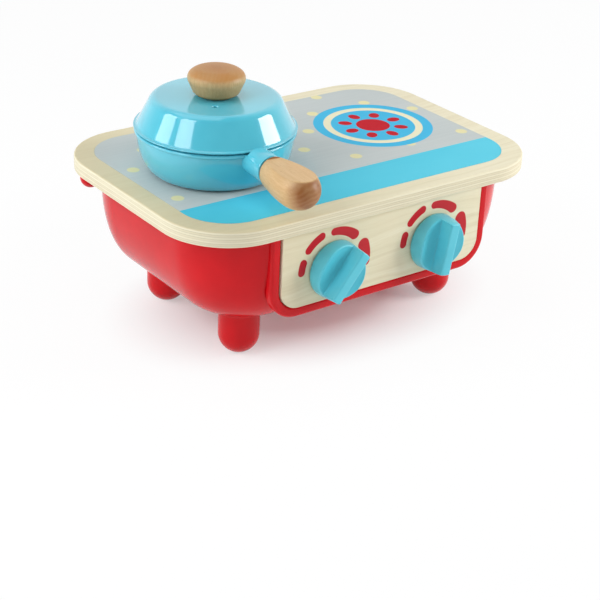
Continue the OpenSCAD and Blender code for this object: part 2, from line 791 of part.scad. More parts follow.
module lid_knob() {
    color(beech) on_pan() translate([0, 0, lid_top]) difference() {
        rotate_extrude($fn = round_steps) polygon(concat(
            [[0, 0]],
            [for (a = [0 : 10 : 90]) [
                lid_knob_foot_r + (lid_knob_r - lid_knob_foot_r) * sin(a),
                lid_knob_wide_h * (1 - cos(a))]],
            [for (a = [10 : 10 : 80])
                [lid_knob_r * cos(a), lid_knob_wide_h + (lid_knob_h - lid_knob_wide_h) * sin(a)]],
            [[0, lid_knob_h]]));
        translate([0, 0, -cut])
            cylinder(lid_screw_len - pan_wall + cut, r = screw_r, $fn = small_steps);
    }
}

module lid_screw() {
    color(steel) on_pan() translate([0, 0, lid_top - pan_wall]) screw(lid_screw_len);
}

hob_board();
hob_sheet();
body_shell();
front_panel();
foot(-foot_x, -foot_y_front);  // foot_front_left
foot(foot_x, -foot_y_front);  // foot_front_right
foot(-foot_x, foot_y_back);  // foot_back_left
foot(foot_x, foot_y_back);  // foot_back_right
utensil_peg(-1);  // utensil_peg_left
utensil_peg(1);  // utensil_peg_right
knob(-1, bar_lean_left);  // knob_left
knob(1, bar_lean_right);  // knob_right
knob_shaft(-1);  // knob_shaft_left
knob_shaft(1);  // knob_shaft_right
bush(-1);  // bush_left
bush(1);  // bush_right
click_wheel(-1);  // click_wheel_left
click_wheel(1);  // click_wheel_right
click_spring(-1);  // click_spring_left
click_spring(1);  // click_spring_right
wheel_screw(-1);  // wheel_screw_left
wheel_screw(1);  // wheel_screw_right
board_screws();
panel_screws();
foot_screws();
spring_screws();
pan_body();
pan_handle();
handle_screw();
lid_shell();
lid_knob();
lid_screw();
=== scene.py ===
"""Looks of the toy stove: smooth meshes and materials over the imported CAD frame.

Lengths are written in millimetres and turned into metres where a mesh is made. The camera and the
lamps are placed in metres.
"""

import json
import math

import bpy
from mathutils import Matrix, Vector


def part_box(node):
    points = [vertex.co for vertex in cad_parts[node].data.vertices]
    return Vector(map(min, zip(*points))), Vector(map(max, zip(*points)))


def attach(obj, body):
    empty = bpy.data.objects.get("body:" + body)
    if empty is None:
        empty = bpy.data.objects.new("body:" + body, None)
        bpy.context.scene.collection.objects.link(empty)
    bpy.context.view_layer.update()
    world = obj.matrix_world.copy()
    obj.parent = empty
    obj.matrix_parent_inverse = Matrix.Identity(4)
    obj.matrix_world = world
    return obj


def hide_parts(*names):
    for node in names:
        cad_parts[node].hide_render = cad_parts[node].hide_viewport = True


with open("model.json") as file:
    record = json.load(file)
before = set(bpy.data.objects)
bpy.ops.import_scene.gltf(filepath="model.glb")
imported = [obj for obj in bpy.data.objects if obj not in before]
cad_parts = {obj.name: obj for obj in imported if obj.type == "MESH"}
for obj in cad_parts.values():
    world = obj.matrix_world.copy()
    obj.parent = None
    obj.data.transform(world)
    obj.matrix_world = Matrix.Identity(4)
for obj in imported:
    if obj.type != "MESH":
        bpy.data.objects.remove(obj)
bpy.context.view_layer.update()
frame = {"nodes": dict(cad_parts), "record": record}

MM = 0.001

# Places read from the frame
board_low, board_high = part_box("hob_board")
MIDDLE_Y = (board_low.y + board_high.y) / 2 / MM  # the board's middle, front to back
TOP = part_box("hob_sheet")[1].z / MM  # the printed face
UNDER = board_low.z / MM  # the board's underside
PANEL_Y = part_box("front_panel")[0].y / MM  # the panel's face
KNOB_Z = sum(corner.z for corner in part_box("click_wheel_left")) / 2 / MM

OVER = 1  # how far a cutting solid reaches past what it cuts

# Board and tub, with the tub's screw wells
BOARD_T, BOARD_PLIES = 9, 7
TUB_W, TUB_D, TUB_H = 224, 161, 58.3
TUB_R, TUB_WALL = 47, 2.5
TUB_TUCK, TUB_FULL = 28.5, 2.6  # how far the sides draw in towards the floor, and how full they are
FOOT_H = UNDER - TUB_H
WELL_X, WELL_Y, WELL_R, WELL_BORE, WELL_CAP = 42, 40, 5.5, 3.6, 3
WELL_GAP = 0.01  # keeps the ends of the wells off the tub's own faces
SCREW_R, HEAD_R = 1.6, 3.1

# The front panel, and what holds it in the tub
PANEL_W, PANEL_H, PANEL_T, PANEL_R, PANEL_PLIES = 144, 45.5, 7, 12, 5
RIM_W, RIM_T, RIM_EDGE, RIM_GAP, RIM_ROOT = 6.3, 4, 1.8, 0.2, 0.6
PROUD = 0.8  # how far the panel's face stands out of the rim
COLLAR_STEP, COLLAR_LEN = 1.5, 24
LEDGE_W, LEDGE_T, LEDGE_INSET, LEDGE_DROP = 6, 2.5, 1.2, 0.05

# Feet and utensil pegs. The pegs' balls are a little larger than the CAD's
FOOT_X, FOOT_FRONT, FOOT_BACK = 72.6, -43, 36
FOOT_R, FOOT_CUT, FOOT_FLAT = 12.2, 0.5, 3.45  # the ball, the slice cut off it, and the flat's radius
FOOT_EDGE = 0.02  # the height of the flat's upright edge
SEAT_DOWN, SEAT_UP = 2, 4  # how far the tub's seat for a foot reaches under and over the tub's floor
# Corners of the flare: radius, height over the tub's floor, rounding
FLARE = ((FOOT_R, -5, 0), (FOOT_R, -2.2, 3), (13.4, 0.6, 0))
PEG_R, PEG_REACH, PEG_TURN, PEG_DROP = 6.1, 6.3, 28, 6.2
STEM_R, PEG_NECK = 3.2, 3.6  # the stem where it leaves the tub, and where it meets the ball

# Knobs, with a skirt and a bar between two scoops
KNOB_X, KNOB_R, DRAFT, DEPTH, KNOB_GAP = 36.3, 17.3, 1.3, 16.5, 0.5
VALLEY, SKIRT, SCOOP, BAR_FRONT, BAR_FOOT = 8, 10.6, 18, 3.4, 3.9
BAR_EASE, BAR_FILLET = 1.1, 0.5
KNOB_BORE, KNOB_BORE_LEN = 4, 6
KNOB_EASE, KNOB_CHAMFER = 1.0, 0.4  # the knob's outer edge, and the one next to the panel
LEAN_LEFT, LEAN_RIGHT = 39, 10  # how far each bar leans from upright, in degrees

# Pan and handle
PAN = Vector((-61.2, 1.7 + MIDDLE_Y, TOP))
PAN_R, PAN_FOOT, PAN_H, WALL = 45.8, 34.2, 25.6, 2
ROLL_R = 46.9  # the pan's rolled rim
# The pan's underside and its rim, as corners: radius, height and rounding
PAN_SOLE = ((0, 0, 0), (PAN_FOOT - 4, 0, 0), (PAN_FOOT - 3.6, 0.9, 0.2), (PAN_FOOT - 0.6, 0.9, 0.3))
PAN_ROLL = (
    (PAN_R, PAN_H - 2.1, 0.4), (ROLL_R, PAN_H - 1.8, 0.7), (ROLL_R, PAN_H, 0.8),
    (PAN_R - WALL, PAN_H, 0.5), (PAN_R - WALL, PAN_H - 1.5, 0))
SIDE_LOW, SIDE_HIGH, INNER_HIGH = 1.1, PAN_H - 2.6, PAN_H - 1.6  # heights where its plain sides end
HANDLE_UP, HANDLE_TURN = 21, math.radians(-94)
SOCKET_R, SOCKET_START, SOCKET_END = 8.4, 42.2, 62
BORE_R, BORE_START, BORE_END = HEAD_R + 0.5, 20, 46.3  # the wide bore for the screw's head
HANDLE_LEN, BELLY, HANDLE_R, HANDLE_FLAT = 42, 26, 12, 7.6
GROOVE, GROOVE_LEN = 1.8, 1.2  # the neck between socket and handle
# The handle's end in the socket, as corners: radius, distance along the handle and rounding
NECK = (
    (0, 0, 0), (SOCKET_R - GROOVE, 0, 0), (SOCKET_R - GROOVE, GROOVE_LEN, 0.2),
    (SOCKET_R - 0.15, GROOVE_LEN + 0.05, 0.6), (SOCKET_R + 0.3, 2, 0))
FLAT_START, FLAT_SOFT = 2, 0.4  # where the flat on top of the handle may begin, and its soft edge

# Lid
LID_BASE, LID_H, BRIM_R, BRIM_T = 25.9, 18.6, 47.2, 1.6  # the brim is 0.5 mm narrower than the CAD's
BRIM_LIFT, BRIM_EDGE = 0.8, 0.38  # the shadow gap under the brim, and the rounding of its edges
CLEAR_R, CLEAR_H = BRIM_R + 1.1, 9  # room for the lid, cut out of the handle's socket
CONE_R, LID_TOP_R, SHOULDER, INNER_SHOULDER = 46, 37, 5.5, 3
LIP_GAP, LIP = 0.6, 4  # the lid's lip inside the pan
# The lid knob's corners: radius, height and rounding
LID_KNOB = ((0, 0, 0), (9.2, 0, 0.5), (13.2, 2.0, 3.5), (17.7, 12.0, 4.4), (12.2, 16.0, 10), (0, 17.2, 0))
VENT_R, VENT_FLARE, VENT_OUT, VENT_TURN = 1.6, 0.7, 19, math.radians(-125)

# The hob picture
BAND_EDGE = -40.5
DOT_R, DOT_PITCH_X, DOT_PITCH_Y, DOT_SHIFT = 3.7, 41.8, 48.1, 1.0
BURNER_X, BURNER_Y, LEFT_BURNER = 63.9, 11.6, 0.8  # the left one is a smaller one, hidden by the pan
RING_OUT, RING_PALE, RING_IN, HUB_R = 37.7, 31.3, 26.6, 10.7
PETAL_AT, PETAL_LONG, PETAL_WIDE = 17.6, 4.4, 3.4
PETALS, PETAL_TURN = 8, math.radians(4.6)
PRINT_SOFT = 0.35

# The marks painted round each knob
DIAL_LEFT, DIAL_RIGHT, DIAL_Z = -37.0, 35.8, KNOB_Z + 0.3
DIAL_MIDDLE_R = 22  # the radius at which a mark's length is counted
# From and to in degrees, clockwise from straight up, then the inner radius at both ends and the outer one
MARKS = (
    (-91, -64, 19.4, 19.4, 24.1, 24.4),
    (-56, -16, 20.3, 20.3, 24.9, 25.2),
    (-6, 48, 19.8, 19.2, 24.2, 25.7),
    (57, 100, 18.8, 22.2, 27.6, 26.4),
)


def rgb(red, green, blue):
    """Colour from 0 to 255 as it shows, to Blender's linear one."""
    def linear(part):
        part /= 255
        return part / 12.92 if part <= 0.04045 else ((part + 0.055) / 1.055) ** 2.4
    return (linear(red), linear(green), linear(blue), 1.0)


# Colours, most of them in pairs between which a material wanders
RED = rgb(214, 11, 23), rgb(197, 7, 18)
KNOB_BLUE = rgb(96, 204, 220), rgb(78, 190, 209)
WHITE = rgb(232, 232, 228), rgb(214, 214, 208)
ENAMEL_BLUE = rgb(94, 200, 219), rgb(79, 188, 210)
ZINC = rgb(176, 178, 184), rgb(214, 214, 216)
PAPER = rgb(247, 247, 248), rgb(250, 250, 250)
VENEER = rgb(221, 210, 176), rgb(232, 223, 192), rgb(238, 231, 204)
VENEER_BROAD, VENEER_LEFT_TAN, VENEER_PORE = rgb(226, 214, 180), rgb(206, 190, 146), rgb(200, 184, 142)
PLY_LIGHT = rgb(226, 217, 186), rgb(238, 231, 206)
PLY_DARK = rgb(212, 201, 165), rgb(229, 220, 190)
PLY_GLUE = rgb(150, 134, 98)
MARK_RED = rgb(188, 12, 26), rgb(202, 24, 38)
# The seam colour is painted shade for the gap where the handle meets its socket
FLECK, FLUSH, END_DARK_MIDDLE, SEAM_SHADE = rgb(168, 118, 72), rgb(214, 160, 106), rgb(158, 100, 50), rgb(62, 52, 40)
HANDLE_WOOD = rgb(222, 190, 144), rgb(200, 162, 110), rgb(146, 88, 42)  # light, mid and end grain
LID_KNOB_WOOD = rgb(206, 180, 132), rgb(172, 144, 98), rgb(188, 134, 76)
SILVER = rgb(187, 193, 191), rgb(205, 210, 207)
SILVER_GLINT, SILVER_CLOUD = rgb(214, 219, 217), rgb(178, 186, 187)
# The band's two blues. The lighter one also serves as a painted sheen towards the right
BAND_BLUE_AND_SHEEN = rgb(60, 190, 216), rgb(108, 212, 232)
DOT_YELLOW, RING_CREAM = rgb(228, 221, 172), rgb(236, 229, 196)
RING_BLUE = rgb(60, 176, 218), rgb(80, 192, 230)
PRINT_RED = rgb(184, 8, 28), rgb(202, 16, 38)

# Camera, solved from the photograph: angles in degrees, its place in metres, sensor and lens in mm
CAMERA_TURN, CAMERA_UP, CAMERA_ROLL = -37.208, 26.738, 2.563
CAMERA_PLACE = (-0.528058, -0.691854, 0.436267)
SENSOR, LENS = 36, 93.43

# Light. Lamps are placed in metres
FILL, DARK_ROOM = 0.43, 0.13  # strength of the even light, and of the studio as mirrors see it
FILL_COLOUR, ROOM_COLOUR = (0.95, 0.97, 1), (0.9, 0.95, 1)
BACKDROP_WAY = (0.605, 0.797, 0)  # from the camera past the toy
BACKDROP = (0.1, 0.75, 0, 0.95)  # from and to: how far behind the toy, and how white
AIM = Vector((0, 0, 0.09))
FLOOR_WHITE = (0.12, 0.97)  # the share of its own white near the toy, and far from it
FLOOR_REACH = 4  # metres
FLOOR_OVAL, FLOOR_OVAL_Y = (90, 62), -5  # an oval round the toy: its radii, and where its middle is
FLOOR_FADE, FLOOR_FADE_WIDTH = 1.075, 0.85  # where the one share turns into the other, in such ovals


# Camera and light

def make_camera():
    az, el, roll = (math.radians(d) for d in (CAMERA_TURN, CAMERA_UP, CAMERA_ROLL))
    back = Vector((math.sin(az) * math.cos(el), -math.cos(az) * math.cos(el), math.sin(el)))
    right = Vector((math.cos(az), math.sin(az), 0))
    up = back.cross(right)
    x = right * math.cos(roll) + up * math.sin(roll)
    y = up * math.cos(roll) - right * math.sin(roll)
    data = bpy.data.cameras.new("camera")
    data.sensor_width = SENSOR
    data.lens = LENS
    cam = bpy.data.objects.new("camera", data)
    bpy.context.scene.collection.objects.link(cam)
    cam.matrix_world = Matrix((x, y, back)).transposed().to_4x4()
    cam.location = CAMERA_PLACE
    bpy.context.scene.camera = cam


def around(turn, up):
    """A direction, turned to the right of the camera's own, seen from above."""
    a, e = math.radians(CAMERA_TURN + turn), math.radians(up)
    return (math.sin(a) * math.cos(e), -math.cos(a) * math.cos(e), math.sin(e))


def softbox(name, toward, distance, size, power, colour):
    """A rectangular lamp that faces the toy from the direction toward, in metres and watts."""
    data = bpy.data.lights.new(name, "AREA")
    data.shape = "RECTANGLE"
    data.size, data.size_y = size
    data.energy = power
    data.color = colour
    lamp = bpy.data.objects.new(name, data)
    bpy.context.scene.collection.objects.link(lamp)
    d = Vector(toward).normalized()
    lamp.location = AIM + d * distance
    lamp.rotation_euler = d.to_track_quat("Z", "Y").to_euler()


def make_lamps():
    softbox("box_left_a", around(-79, 24), 1.0, (0.35, 0.58), 2.9, (0.95, 0.98, 1.0))
    softbox("box_left_b", around(-48, 30), 1.0, (0.35, 0.58), 3.0, (0.95, 0.98, 1.0))
    softbox("box_right", around(94, 22), 1.1, (0.52, 0.55), 8.2, (1.0, 0.99, 0.98))
    softbox("box_top", (-0.25, 0.2, 1.0), 1.2, (0.9, 0.9), 3.0, (1.0, 0.99, 0.97))


def make_world():
    """Even light. The camera sees white, and mirrors see a white backdrop behind the toy and a dark
    studio on the photographer's side."""
    world = bpy.data.worlds.new("studio")
    bpy.context.scene.world = world
    world.use_nodes = True
    tree = world.node_tree
    tree.nodes.clear()

    def background(colour, strength):
        node = tree.nodes.new("ShaderNodeBackground")
        node.inputs[0].default_value = (*colour, 1)
        node.inputs[1].default_value = strength
        return node.outputs[0]

    def mix(share, first, second):
        node = tree.nodes.new("ShaderNodeMixShader")
        for socket, value in zip(node.inputs, (share, first, second)):
            tree.links.new(value, socket)
        return node.outputs[0]

    seen = tree.nodes.new("ShaderNodeLightPath")
    way = tree.nodes.new("ShaderNodeTexCoord")
    behind = tree.nodes.new("ShaderNodeVectorMath")
    behind.operation = "DOT_PRODUCT"
    behind.inputs[1].default_value = BACKDROP_WAY
    tree.links.new(way.outputs["Generated"], behind.inputs[0])
    share = tree.nodes.new("ShaderNodeMapRange")
    for socket, value in zip(share.inputs[1:5], BACKDROP):
        socket.default_value = value
    tree.links.new(behind.outputs["Value"], share.inputs[0])
    mirrored = tree.nodes.new("ShaderNodeMath")
    mirrored.operation = "MAXIMUM"
    tree.links.new(seen.outputs["Is Glossy Ray"], mirrored.inputs[0])
    tree.links.new(seen.outputs["Is Transmission Ray"], mirrored.inputs[1])
    white = background((1, 1, 1), 1)
    studio = mix(share.outputs[0], background(ROOM_COLOUR, DARK_ROOM), white)
    room = mix(mirrored.outputs[0], background(FILL_COLOUR, FILL), studio)
    out = tree.nodes.new("ShaderNodeOutputWorld")
    tree.links.new(mix(seen.outputs["Is Camera Ray"], room, white), out.inputs[0])


# Nodes written as sums

class Num:
    """A number in a material's nodes."""

    def __init__(self, look, socket):
        self.look, self.socket = look, socket

    def op(self, name, *others, clamp=False):
        node = self.look.tree.nodes.new("ShaderNodeMath")
        node.operation = name
        node.use_clamp = clamp
        for socket, value in zip(node.inputs, (self, *others)):
            self.look.feed(socket, value)
        return Num(self.look, node.outputs[0])

    def __add__(self, other):
        return self.op("ADD", other)

    def __sub__(self, other):
        return self.op("SUBTRACT", other)

    def __mul__(self, other):
        return self.op("MULTIPLY", other)

    def __truediv__(self, other):
        return self.op("DIVIDE", other)

    def below(self, edge, soft):
        """1 below the edge and 0 above it, with a soft step."""
        return self.op("MULTIPLY_ADD", -1 / soft, edge / soft + 0.5, clamp=True)

    def above(self, edge, soft):
        return self.op("MULTIPLY_ADD", 1 / soft, 0.5 - edge / soft, clamp=True)

    def contrast(self, gain):
        """More contrast round the middle value, from 0 to 1."""
        return self.above(0.5, 1 / gain)

    def opposite(self):
        return self * -1 + 1

    def wrap(self, middle, pitch):
        """Distance from the nearest of a row of lines, a pitch apart, one of them at middle."""
        return self.op("ADD", pitch / 2 - middle).op("FLOORED_MODULO", pitch) - pitch / 2


def disc(dx, dy):
    """Distance from a middle, for a round shape."""
    return (dx * dx + dy * dy).op("SQRT")


class Look:
    """A material, with its colour, roughness and bump made by nodes."""

    def __init__(self, name, roughness, specular, coat=0.0, coat_roughness=0.05):
        self.mat = bpy.data.materials.new(name)
        self.mat.use_nodes = True
        self.tree = self.mat.node_tree
        self.shader = self.tree.nodes["Principled BSDF"]
        self.shader.inputs["Roughness"].default_value = roughness
        self.shader.inputs["Specular IOR Level"].default_value = specular
        self.shader.inputs["Coat Weight"].default_value = coat
        self.shader.inputs["Coat Roughness"].default_value = coat_roughness
        coords = self.tree.nodes.new("ShaderNodeTexCoord")
        self.place = coords.outputs["Object"]
        self.normal = coords.outputs["Normal"]

    def feed(self, socket, value):
        if isinstance(value, Num):
            value = value.socket
        if isinstance(value, bpy.types.NodeSocket):
            self.tree.links.new(value, socket)
        else:
            socket.default_value = value

    def parts(self, vector):
        node = self.tree.nodes.new("ShaderNodeSeparateXYZ")
        self.tree.links.new(vector, node.inputs[0])
        return [Num(self, socket) for socket in node.outputs]

    def xyz_mm(self):
        """The place in millimetres, with y from the middle of the board and z from the table."""
        x, y, z = self.parts(self.place)
        return x * 1000, y.op("MULTIPLY_ADD", 1000, -MIDDLE_Y), z * 1000

    def along(self, vector, axis):
        """How far a vector reaches along an axis."""
        node = self.tree.nodes.new("ShaderNodeVectorMath")
        node.operation = "DOT_PRODUCT"
        node.inputs[1].default_value = axis
        self.tree.links.new(vector, node.inputs[0])
        return Num(self, node.outputs["Value"])

    def vector(self, x, y, z):
        node = self.tree.nodes.new("ShaderNodeCombineXYZ")
        for socket, value in zip(node.inputs, (x, y, z)):
            self.feed(socket, value)
        return node.outputs[0]

    def stretched(self, scale):
        node = self.tree.nodes.new("ShaderNodeMapping")
        node.inputs["Scale"].default_value = scale
        self.tree.links.new(self.place, node.inputs["Vector"])
        return node.outputs[0]

    def noise(self, vector, scale, detail, roughness):
        """Noise from 0 to 1, at a place in metres or at a vector made for it."""
        node = self.tree.nodes.new("ShaderNodeTexNoise")
        self.tree.links.new(vector, node.inputs["Vector"])
        node.inputs["Scale"].default_value = scale
        node.inputs["Detail"].default_value = detail
        node.inputs["Roughness"].default_value = roughness
        return Num(self, node.outputs[0])

    def mix(self, share, a, b):
        """Colour a where share is 0 and b where it is 1."""
        node = self.tree.nodes.new("ShaderNodeMix")
        node.data_type = "RGBA"
        self.feed(node.inputs[0], share)
        self.feed(node.inputs[6], a)
        self.feed(node.inputs[7], b)
        return node.outputs[2]

    def ramp(self, value, places, colours):
        node = self.tree.nodes.new("ShaderNodeValToRGB")
        self.feed(node.inputs[0], value)
        elements = node.color_ramp.elements
        while len(elements) < len(places):
            elements.new(0.5)
        for element, place, colour in zip(elements, places, colours):
            element.position, element.color = place, colour
        return node.outputs[0]

    def colour(self, value):
        self.feed(self.shader.inputs["Base Color"], value)

    def rough(self, value):
        self.feed(self.shader.inputs["Roughness"], value)

    def bump(self, height, depth):
        """Height from 0 to 1, depth in millimetres."""
        node = self.tree.nodes.new("ShaderNodeBump")
        node.inputs["Distance"].default_value = depth * MM
        self.feed(node.inputs["Height"], height)
        self.tree.links.new(node.outputs[0], self.shader.inputs["Normal"])


# Materials

def moulded_plastic(name, light, dark, roughness, worn, specular=0.5):
    """Moulded plastic: slow waves, a fine orange peel and faint rubbing."""
    look = Look(name, roughness, specular)
    slow = look.noise(look.place, 9, 2, 0.5)
    fine = look.noise(look.place, 900, 3, 0.6)
    cloud = look.noise(look.place, 38, 4, 0.6)
    rubbed = look.noise(look.place, 60, 5, 0.65).above(0.55, 0.5)
    look.colour(look.mix(cloud.contrast(1.6), dark, light))
    look.rough(rubbed * worn + cloud * 0.05 + (roughness - 0.02))
    look.bump(slow * 6 + fine * 0.10, 0.06)
    return look.mat


def enamel(name, light, dark):
    """Gloss paint on turned metal."""
    look = Look(name, 0.14, 0.5, coat=0.8, coat_roughness=0.02)
    slow = look.noise(look.place, 22, 2, 0.5)
    fine = look.noise(look.place, 650, 2, 0.5)
    cloud = look.noise(look.place, 30, 3, 0.6)
    look.colour(look.mix(cloud.contrast(1.4), dark, light))
    look.rough(look.noise(look.place, 120, 4, 0.6) * 0.08 + 0.07)
    look.bump(slow * 3 + fine * 0.12, 0.05)
    return look.mat


def steel(name, dark, light):
    """Zinc plated steel."""
    look = Look(name, 0.3, 0.5)
    look.shader.inputs["Metallic"].default_value = 1.0
    grain = look.noise(look.stretched((2500, 2500, 400)), 1.0, 3, 0.6)
    cloud = look.noise(look.place, 220, 3, 0.6)
    look.colour(look.mix(cloud, dark, light))
    look.rough(grain * 0.2 + cloud * 0.15 + 0.12)
    look.bump(grain, 0.01)
    return look.mat


def plywood(name, lying, start, thick, plies, left_tan, marks=None):
    """Birch plywood: veneer with grain along x on its two faces, and its layers on every edge.

    It lies flat or stands with its face to the front. start is its lowest or foremost face, left_tan how
    much browner it gets towards its left end, and marks draws paint on its face."""
    look = Look(name, 0.42, 0.3)
    x, y, z = look.xyz_mm()
    _, facing_y, facing_z = look.parts(look.normal)
    through, across = (z, y) if lying else (y, z)
    face = (facing_z if lying else facing_y).op("ABSOLUTE").above(0.72, 0.1)

    # Veneer: long wavy grain along x
    warp = look.noise(look.vector(x / 60, across / 30, through / 60), 1.0, 2, 0.5)
    grain = look.noise(look.vector(x / 110, across / 3.2 + warp * 4, through / 10), 1.0, 4, 0.62)
    pores = look.noise(look.vector(x / 9, across / 0.35, through / 9), 1.0, 2, 0.6)
    broad = look.noise(look.vector(x / 140, across / 28, through / 60), 1.0, 2, 0.5)
    veneer = look.ramp(grain, (0.28, 0.50, 0.70), VENEER)
    veneer = look.mix(broad.above(0.52, 0.3) * 0.45, veneer, VENEER_BROAD)
    # Browner towards the left end
    veneer = look.mix(x.below(-30, 160) * left_tan, veneer, VENEER_LEFT_TAN)
    veneer = look.mix(pores.above(0.66, 0.12) * 0.20, veneer, VENEER_PORE)

    # Edge: thin glue lines between light and darker layers, which fade here and there
    wander = look.noise(look.vector(x / 26, y / 26, z / 26), 1.0, 2, 0.5) * 0.55
    fuzz = look.noise(look.vector(x / 1.2, y / 1.2, z / 0.25), 1.0, 3, 0.6)
    streak = look.noise(look.vector(x / 18, y / 18, z / 0.5), 1.0, 3, 0.6)
    fade = look.noise(look.vector(x / 45, y / 45, z / 3), 1.0, 2, 0.5).above(0.5, 0.5)
    layer = (through - start) * (plies / thick) + wander - 0.27
    second = layer.op("FLOORED_MODULO", 2.0).above(1.0, 0.05)
    glue = (layer.op("FLOORED_MODULO", 1.0) - 0.5).op("ABSOLUTE").above(0.44, 0.06)
    layers = look.mix(second * (fade * 0.5 + 0.4), look.mix(streak, *PLY_LIGHT), look.mix(fuzz, *PLY_DARK))
    edge = look.mix(glue * (streak * 0.35 + fade * 0.55 + 0.04), layers, PLY_GLUE)

    colour = look.mix(face, edge, veneer)
    if marks:
        colour = look.mix(marks(x, z) * face, colour, look.mix(grain, *MARK_RED))
    look.colour(colour)
    look.rough(grain * 0.12 + face * -0.12 + 0.44)
    look.bump(face * (grain * 0.35 + pores * 0.4) + (glue * fade * -1 + fuzz * 0.5) * face.opposite(), 0.06)
    return look.mat


def dial_marks(x, z):
    """Four marks round each knob, which grow thicker from the left round to the right."""
    # The two dials are alike, so the left one is found by a shift and not by a mirror
    left = x.below(0.0, 0.01)
    dx = (x - DIAL_LEFT) * left + (x - DIAL_RIGHT) * left.opposite()
    dz = z - DIAL_Z
    r = disc(dx, dz)
    angle = dx.op("ARCTAN2", dz) * (180 / math.pi)
    total = None
    for start, end, inner_start, inner_end, outer_start, outer_end in MARKS:
        t = (angle - start) / (end - start)
        inner = t * (inner_end - inner_start) + inner_start
        outer = t * (outer_end - outer_start) + outer_start
        middle = (inner + outer) * 0.5
        half = (outer - inner) * 0.5
        # Rounded ends: past the last full place, the distance along the arc counts too
        length = math.radians(end - start) * DIAL_MIDDLE_R
        past = ((t - 0.5).op("ABSOLUTE") * length + half - length / 2).op("MAXIMUM", 0)
        mark = (disc(r - middle, past) - half).below(0, 0.25)
        total = mark if total is None else total.op("MAXIMUM", mark)
    return total


def beech(name, origin, along, side, light, mid, end, shade_until=None, dark_middle=None):
    """Turned beech: growth rings round a pith beside the piece, short dark flecks, and darker end grain.

    along is the piece's axis. shade_until is where painted shade, standing for the gap next to a socket,
    ends, measured along it from the origin, and dark_middle the width of a darker middle of the end grain."""
    look = Look(name, 0.42, 0.3, coat=0.08, coat_roughness=0.3)
    along, side = Vector(along).normalized(), Vector(side).normalized()
    axes = (along, side, along.cross(side))
    t, u, v = (look.along(look.place, axis) * 1000 - Vector(origin).dot(axis) for axis in axes)
    warp = look.noise(look.vector(t / 40, u / 14, v / 14), 1.0, 3, 0.5)
    rings = ((disc(u + 24, v + 7) + warp * 9) * 2.3).op("SINE") * 0.5 + 0.5
    fibre = look.noise(look.vector(t / 16, u / 0.8, v / 0.8), 1.0, 4, 0.7)
    fleck = look.noise(look.vector(t / 2.6, u / 0.32, v / 0.9), 1.0, 1, 0.5).above(0.66, 0.06)
    tone = look.noise(look.vector(t / 45, u / 9, v / 9), 1.0, 2, 0.5)
    ends = look.along(look.normal, along).op("ABSOLUTE").above(0.5, 0.42)
    colour = look.mix(fibre.contrast(1.8), mid, light)
    colour = look.mix(rings * 0.22, colour, mid)
    colour = look.mix(fleck * 0.30, colour, FLECK)
    colour = look.mix(tone.above(0.55, 0.3) * 0.25, colour, FLUSH)
    colour = look.mix(ends * (rings * 0.10 + tone * 0.5 + 0.55), colour, end)
    # The end grain grows darker towards its middle
    if dark_middle:
        colour = look.mix(disc(u, v + warp * 3).below(dark_middle / 2, dark_middle) * ends * 0.55, colour, END_DARK_MIDDLE)
    # Painted shade: a dark band at the handle's end, for the gap where it sits in the socket
    if shade_until:
        colour = look.mix(t.below(shade_until, 0.3), colour, SEAM_SHADE)
    look.colour(colour)
    look.rough(fibre * 0.2 + 0.32)
    look.bump(fibre * 0.6 + fleck * -0.3, 0.04)
    return look.mat


def printed_sheet(name):
    """The hob picture: silver with a band in front, dots, and two ringed burners, as plain round shapes."""
    look = Look(name, 0.45, 0.05)
    x, y, _ = look.xyz_mm()
    fine = look.noise(look.place, 1500, 2, 0.6)
    cloud = look.noise(look.stretched((6, 14, 6)), 1.5, 3, 0.6)
    brushed = look.noise(look.stretched((14, 900, 14)), 1.0, 3, 0.6)
    silver = look.mix(brushed, *SILVER)
    silver = look.mix(fine * 0.25, silver, SILVER_GLINT)
    silver = look.mix(cloud.above(0.5, 0.5) * 0.35, silver, SILVER_CLOUD)
    # The band's blue wanders at random and grows lighter towards the right, which is a painted sheen
    band = look.mix(cloud * 0.6 + x.above(0.0, 300) * 0.4, *BAND_BLUE_AND_SHEEN)
    colour = look.mix(y.below(BAND_EDGE, PRINT_SOFT), silver, band)

    # Two square rows of dots, each in the middle of the other's squares
    for i in (0, 1):
        r = disc(x.wrap(DOT_SHIFT + i * DOT_PITCH_X / 2, DOT_PITCH_X),
                 y.wrap(i * DOT_PITCH_Y / 2 - DOT_SHIFT, DOT_PITCH_Y))
        dots = r.below(DOT_R, PRINT_SOFT) * y.above(BAND_EDGE, PRINT_SOFT)
        colour = look.mix(dots, colour, DOT_YELLOW)

    scale = x.below(0.0, 0.01) * (1 / LEFT_BURNER - 1) + 1
    dx = (x.op("ABSOLUTE") - BURNER_X) * scale
    dy = (y - BURNER_Y) * scale
    r = disc(dx, dy)
    blue = look.mix(cloud, *RING_BLUE)
    for radius, inside in ((RING_OUT, blue), (RING_PALE, RING_CREAM), (RING_IN, blue)):
        colour = look.mix(r.below(radius, PRINT_SOFT), colour, inside)
    turn = dy.op("ARCTAN2", dx).wrap(PETAL_TURN, math.tau / PETALS)
    petal = disc((r * turn.op("COSINE") - PETAL_AT) / PETAL_LONG, r * turn.op("SINE") / PETAL_WIDE)
    red = look.mix(cloud, *PRINT_RED)
    colour = look.mix(petal.below(1.0, 0.12), colour, red)
    colour = look.mix(r.below(HUB_R, PRINT_SOFT), colour, red)
    look.colour(colour)
    look.rough(fine * 0.10 + cloud * 0.06 + 0.38)
    look.bump(fine * 0.5 + brushed * 0.5, 0.02)
    return look.mat


